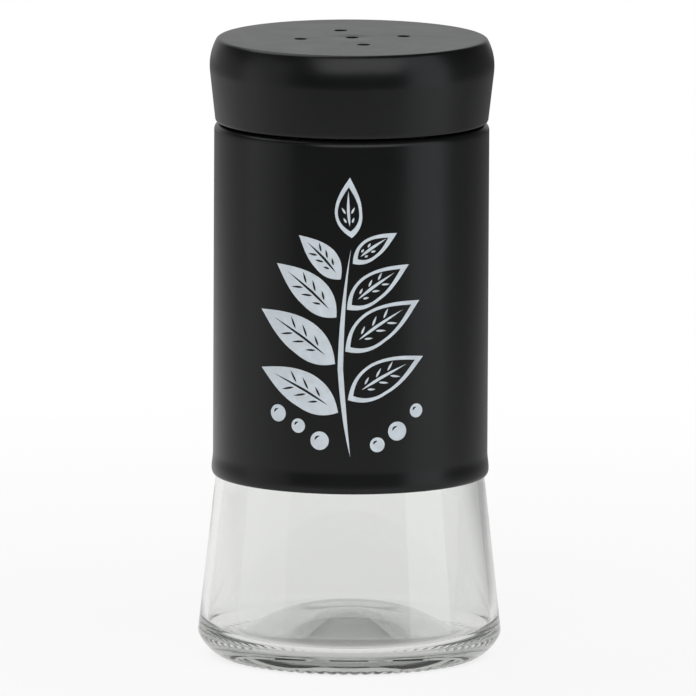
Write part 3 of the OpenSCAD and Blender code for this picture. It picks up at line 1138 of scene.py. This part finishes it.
PLAIN_LIGHT = (1.0, 1.0, 1.0)
COOL_LIGHT = (0.93, 0.96, 1.0)
SOFTBOXES = (
    # name, place, point that it looks at, width, height, radiance, colour, whether gloss shows it
    ("key_softbox", (0.1, -0.78, 0.66), (0, 0, 0.13), 1.2, 0.6, 1.98, PLAIN_LIGHT, True),
    ("top_softbox", (-0.25, 0.2, 0.7), (0, 0, 0.1), 0.6, 0.5, 1.75, PLAIN_LIGHT, True),
    ("right_panel", (0.42, -0.2, 0.28), (0, 0, 0.28), 0.3, 0.56, 1.15, COOL_LIGHT, True),
    ("left_panel", (-0.54, -0.165, 0.22), (0, 0, 0.22), 0.46, 0.44, 0.52, PLAIN_LIGHT, True),
    ("fill", (-0.2, -0.95, 0.3), (0, 0, 0.08), 0.7, 0.7, 2.1, PLAIN_LIGHT, False),
)


def add_softbox(name, location, target, width, height, radiance, tone, in_gloss):
    """A rectangular soft light of a radiance, which looks at a point and isn't seen itself."""
    start_clean()
    bpy.ops.object.light_add(type="AREA", location=location)
    lamp = bpy.context.object
    lamp.name = name
    lamp.data.shape = "RECTANGLE"
    lamp.data.size = width
    lamp.data.size_y = height
    lamp.data.energy = radiance * math.pi * width * height
    lamp.data.color = tone
    lamp.rotation_euler = (Vector(target) - Vector(location)).to_track_quat("-Z", "Y").to_euler()
    lamp.visible_camera = False
    lamp.visible_transmission = False
    lamp.visible_glossy = in_gloss


# Width of the camera's sensor in millimetres, and the distance in metres at which its view ends
SENSOR_WIDTH = 36.0
VIEW_END = 20.0


def add_camera(stage):
    """A long lens at the photograph's viewing angle."""
    start_clean()
    tilt = Matrix.Rotation(math.radians(90) - stage.view_tilt, 4, "X")
    roll = Matrix.Rotation(stage.view_roll, 4, "Z")
    offset = Vector((-stage.view_right, -stage.view_up, stage.view_distance))
    aim = Matrix.Translation((0, 0, stage.view_height))
    bpy.ops.object.camera_add()
    camera = bpy.context.object
    camera.matrix_world = aim @ tilt @ roll @ Matrix.Translation(offset)
    camera.data.sensor_width = SENSOR_WIDTH
    camera.data.lens = SENSOR_WIDTH * stage.view_distance / stage.view_width
    camera.data.clip_end = VIEW_END
    bpy.context.scene.camera = camera


# Direction of the pale backdrop, and the nearness to it over which it comes in
BACKDROP_WAY = (-0.11, 0.984, 0.14)
BACKDROP_EDGE = (0.84, 0.96)
# Ramps of the pale walls over a direction's height, depth and side, with their share at each end
WALL_LOW = (0.08, 0.4, 1.0, 0.0)
WALL_DEPTH = (-0.45, 0.0)
WALL_SIDE = (0.0, 0.5, 1.0, 0.25)
# How white the studio is through glass
WHITE_THROUGH_GLASS = 0.75


def add_studio(stage):
    """World: white to the camera, a pale studio behind the shaker and a dim room in front."""
    world = bpy.data.worlds.new("studio")
    world.use_nodes = True
    bpy.context.scene.world = world
    tree = world.node_tree
    tree.nodes.clear()
    direction = add_node(tree, "ShaderNodeTexCoord").outputs["Generated"]
    part = add_node(tree, "ShaderNodeSeparateXYZ", {0: direction}).outputs
    path = add_node(tree, "ShaderNodeLightPath").outputs
    inputs = {0: direction, 1: BACKDROP_WAY}
    behind = add_node(tree, "ShaderNodeVectorMath", inputs, operation="DOT_PRODUCT")
    depth = ramp(tree, behind.outputs["Value"], *BACKDROP_EDGE)
    low = ramp(tree, part["Z"], *WALL_LOW)
    beside = ramp(tree, part["Y"], *WALL_DEPTH)
    left = ramp(tree, part["X"], *WALL_SIDE)
    wall = reckon(tree, "MULTIPLY", reckon(tree, "MULTIPLY", low, beside), left)
    room = mixed_colour(tree, wall, rgba(stage.room), rgba(stage.walls))
    studio = mixed_colour(tree, depth, room, rgba(stage.backdrop))
    through = reckon(tree, "MULTIPLY", path["Is Transmission Ray"], WHITE_THROUGH_GLASS)
    shown = mixed_colour(tree, through, studio, WHITE)
    shown = mixed_colour(tree, path["Is Camera Ray"], shown, WHITE)
    sky = add_node(tree, "ShaderNodeBackground", {"Color": shown, "Strength": 1.0})
    output = add_node(tree, "ShaderNodeOutputWorld")
    tree.links.new(sky.outputs[0], output.inputs["Surface"])


# Bounces that carry light through the jar's thick base
LIGHT_BOUNCES = 24
GLOSS_BOUNCES = 16
# Steps round the floor's edge
FLOOR_STEPS = 128


class SHAKER_OT_stage(Operator):
    """Set the floor, the studio light and the camera"""

    bl_idname = "shaker.stage"
    bl_label = "Stage"

    def execute(self, context):
        stage = context.scene.shaker_stage
        context.scene.view_settings.view_transform = "Standard"
        context.scene.cycles.max_bounces = LIGHT_BOUNCES
        context.scene.cycles.glossy_bounces = GLOSS_BOUNCES
        context.scene.cycles.transmission_bounces = LIGHT_BOUNCES
        start_clean()
        bpy.ops.mesh.primitive_circle_add(
            vertices=FLOOR_STEPS,
            radius=stage.floor_radius,
            fill_type="NGON",
            location=(0, stage.floor_back, TABLE_Z),
        )
        bpy.ops.object.transform_apply(location=True)
        floor = context.object
        floor.name = "floor"
        floor.data.materials.append(pale_floor(stage))
        for softbox in SOFTBOXES:
            add_softbox(*softbox)
        add_studio(stage)
        add_camera(stage)
        return {"FINISHED"}


class SHAKER_PT_panel(Panel):
    """Lists the shaker's pieces and its stage"""

    bl_label = "Spice shaker"
    bl_idname = "SHAKER_PT_panel"
    bl_space_type = "VIEW_3D"
    bl_region_type = "UI"
    bl_category = "Shaker"

    def draw(self, context):
        for operator in OPERATORS:
            self.layout.operator(operator.bl_idname)


SETTINGS = {
    "shaker_jar": JarSettings,
    "shaker_sleeve": SleeveSettings,
    "shaker_print": PrintSettings,
    "shaker_cap": CapSettings,
    "shaker_seal": SealSettings,
    "shaker_finish": FinishSettings,
    "shaker_stage": StageSettings,
}
OPERATORS = (
    SHAKER_OT_stage,
    SHAKER_OT_glass_jar,
    SHAKER_OT_body_sleeve,
    SHAKER_OT_sleeve_print,
    SHAKER_OT_rim_seal,
    SHAKER_OT_cap_insert,
    SHAKER_OT_cap_shell,
)


def register():
    """Register the settings, the operators and the panel."""
    for name, group in SETTINGS.items():
        bpy.utils.register_class(group)
        setattr(bpy.types.Scene, name, PointerProperty(type=group))
    for made in (*OPERATORS, SHAKER_PT_panel):
        bpy.utils.register_class(made)


def unregister():
    """Take everything out again, last first."""
    for made in reversed((*OPERATORS, SHAKER_PT_panel)):
        bpy.utils.unregister_class(made)
    for name, group in reversed(SETTINGS.items()):
        delattr(bpy.types.Scene, name)
        bpy.utils.unregister_class(group)


def main():
    """Register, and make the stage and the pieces."""
    register()
    bpy.ops.shaker.stage()
    bpy.ops.shaker.glass_jar()
    bpy.ops.shaker.body_sleeve()
    bpy.ops.shaker.sleeve_print()
    bpy.ops.shaker.rim_seal()
    bpy.ops.shaker.cap_insert()
    bpy.ops.shaker.cap_shell()


if __name__ == "__main__":
    main()
